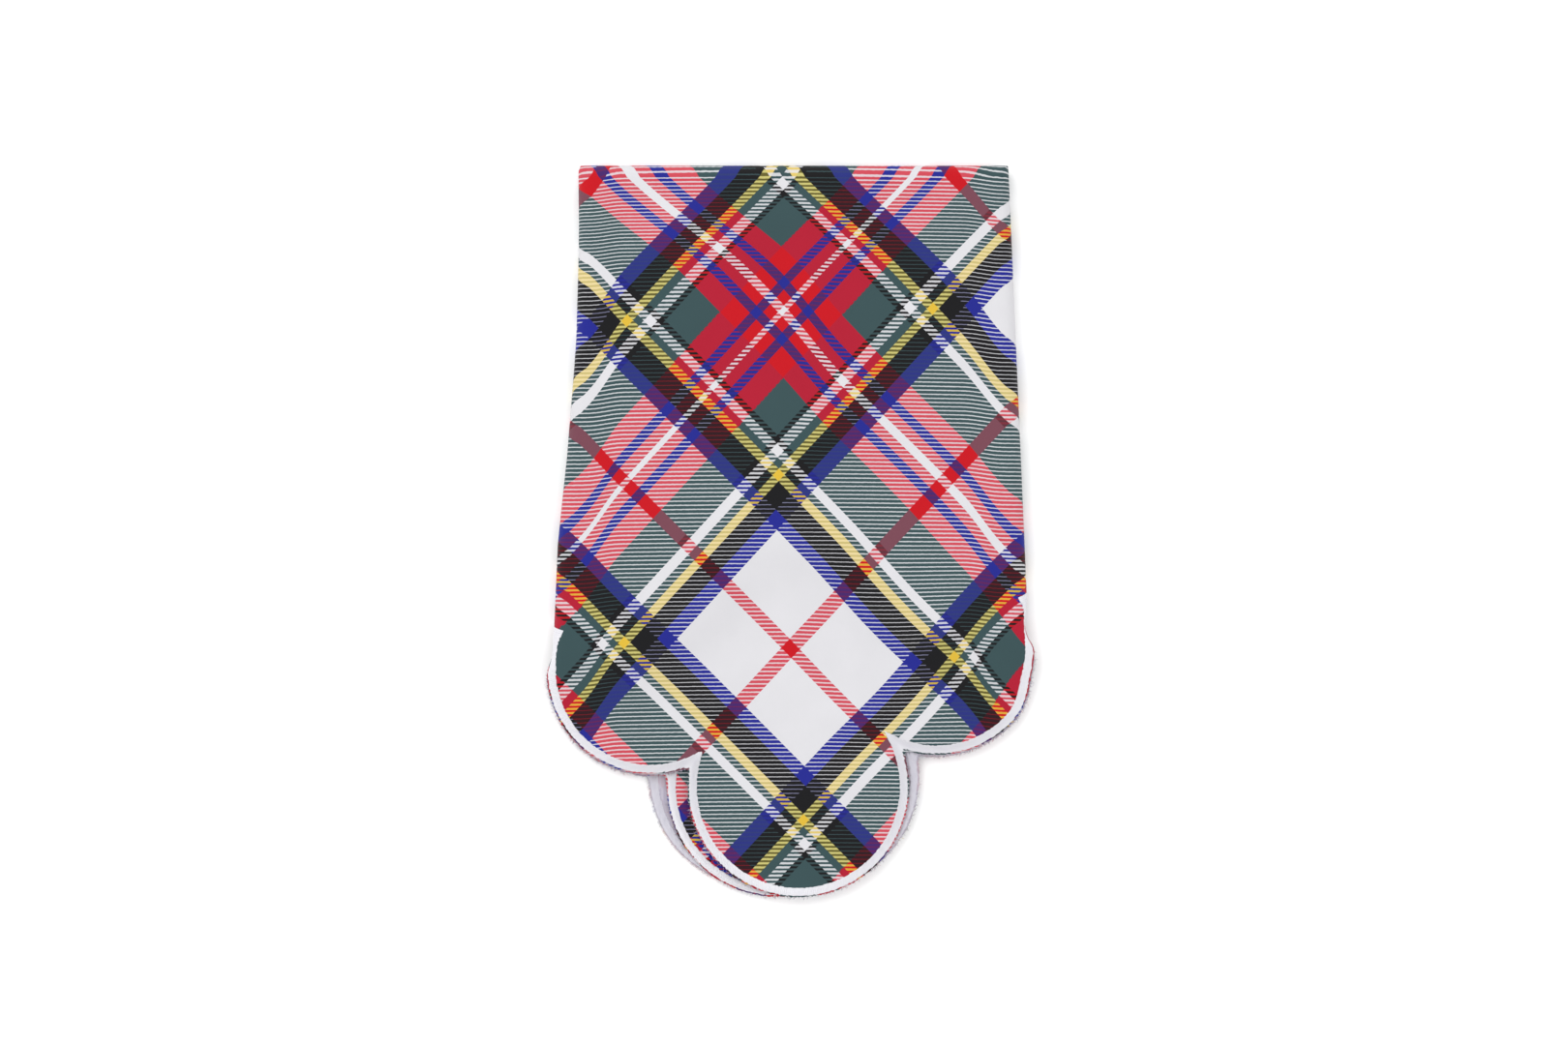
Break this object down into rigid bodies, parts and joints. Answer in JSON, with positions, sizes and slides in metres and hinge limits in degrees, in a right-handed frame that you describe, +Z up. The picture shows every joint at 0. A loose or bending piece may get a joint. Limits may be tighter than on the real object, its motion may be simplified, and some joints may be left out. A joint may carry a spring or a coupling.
{
  "type": "napkin",
  "caption": "Square cloth napkin with a scalloped, satin-stitched hem and tartan print, folded in quarters with its side points and closed point turned under.",
  "frame": {"origin": "bottom centre of the folded napkin's box, on the surface that it lies on", "axes": "+X to the right, +Y towards the top fold, +Z up out of the printed front"},
  "size_m": [0.181, 0.2662, 0.0096],
  "materials": {
    "printed_cloth": "plain-weave cotton printed with a tartan on one face and white on the other",
    "needle_thread": "dense satin stitch in slightly glossy white embroidery thread",
    "bobbin_thread": "matte white bobbin thread under the satin stitch"
  },
  "bodies": {
    "front": {"front_cloth_1": "printed_cloth", "front_cloth_2": "printed_cloth", "front_cloth_3": "printed_cloth", "front_cloth_4": "printed_cloth", "front_needle_thread_1": "needle_thread", "front_needle_thread_2": "needle_thread", "front_needle_thread_3": "needle_thread", "front_needle_thread_4": "needle_thread", "front_bobbin_thread_1": "bobbin_thread", "front_bobbin_thread_2": "bobbin_thread", "front_bobbin_thread_3": "bobbin_thread", "front_bobbin_thread_4": "bobbin_thread", "left_bend_1": "printed_cloth", "left_bend_2": "printed_cloth", "left_bend_3": "printed_cloth", "left_bend_4": "printed_cloth", "right_bend_1": "printed_cloth", "right_bend_2": "printed_cloth", "right_bend_3": "printed_cloth", "right_bend_4": "printed_cloth", "top_bend_1": "printed_cloth", "top_bend_2": "printed_cloth", "top_bend_3": "printed_cloth", "top_bend_4": "printed_cloth"},
    "left_flap": {"left_flap_cloth_1": "printed_cloth", "left_flap_cloth_2": "printed_cloth", "left_flap_cloth_3": "printed_cloth", "left_flap_cloth_4": "printed_cloth", "left_flap_needle_thread_1": "needle_thread", "left_flap_needle_thread_2": "needle_thread", "left_flap_needle_thread_3": "needle_thread", "left_flap_needle_thread_4": "needle_thread", "left_flap_bobbin_thread_1": "bobbin_thread", "left_flap_bobbin_thread_2": "bobbin_thread", "left_flap_bobbin_thread_3": "bobbin_thread", "left_flap_bobbin_thread_4": "bobbin_thread"},
    "right_flap": {"right_flap_cloth_1": "printed_cloth", "right_flap_cloth_2": "printed_cloth", "right_flap_cloth_3": "printed_cloth", "right_flap_cloth_4": "printed_cloth", "right_flap_needle_thread_1": "needle_thread", "right_flap_needle_thread_2": "needle_thread", "right_flap_needle_thread_3": "needle_thread", "right_flap_needle_thread_4": "needle_thread", "right_flap_bobbin_thread_1": "bobbin_thread", "right_flap_bobbin_thread_2": "bobbin_thread", "right_flap_bobbin_thread_3": "bobbin_thread", "right_flap_bobbin_thread_4": "bobbin_thread"},
    "top_flap": {"top_flap_cloth_1": "printed_cloth", "top_flap_cloth_2": "printed_cloth", "top_flap_cloth_3": "printed_cloth", "top_flap_cloth_4": "printed_cloth"}
  },
  "joints": [
    {"name": "left_flap_fold", "type": "hinge", "parent": "front", "child": "left_flap", "pos_m": [-0.07839, 0.12872, 0.0048], "axis": [0.0429, 0.9991, 0], "range_deg": [0, 180], "deforming": ["left_bend_1", "left_bend_2", "left_bend_3", "left_bend_4"]},
    {"name": "right_flap_fold", "type": "hinge", "parent": "front", "child": "right_flap", "pos_m": [0.07839, 0.12872, 0.0048], "axis": [0.0429, -0.9991, 0], "range_deg": [0, 180], "deforming": ["right_bend_1", "right_bend_2", "right_bend_3", "right_bend_4"]},
    {"name": "top_flap_fold", "type": "hinge", "parent": "front", "child": "top_flap", "pos_m": [0, 0.13259, 0.0048], "axis": [1, 0, 0], "range_deg": [0, 180], "deforming": ["top_bend_1", "top_bend_2", "top_bend_3", "top_bend_4"]}
  ]
}
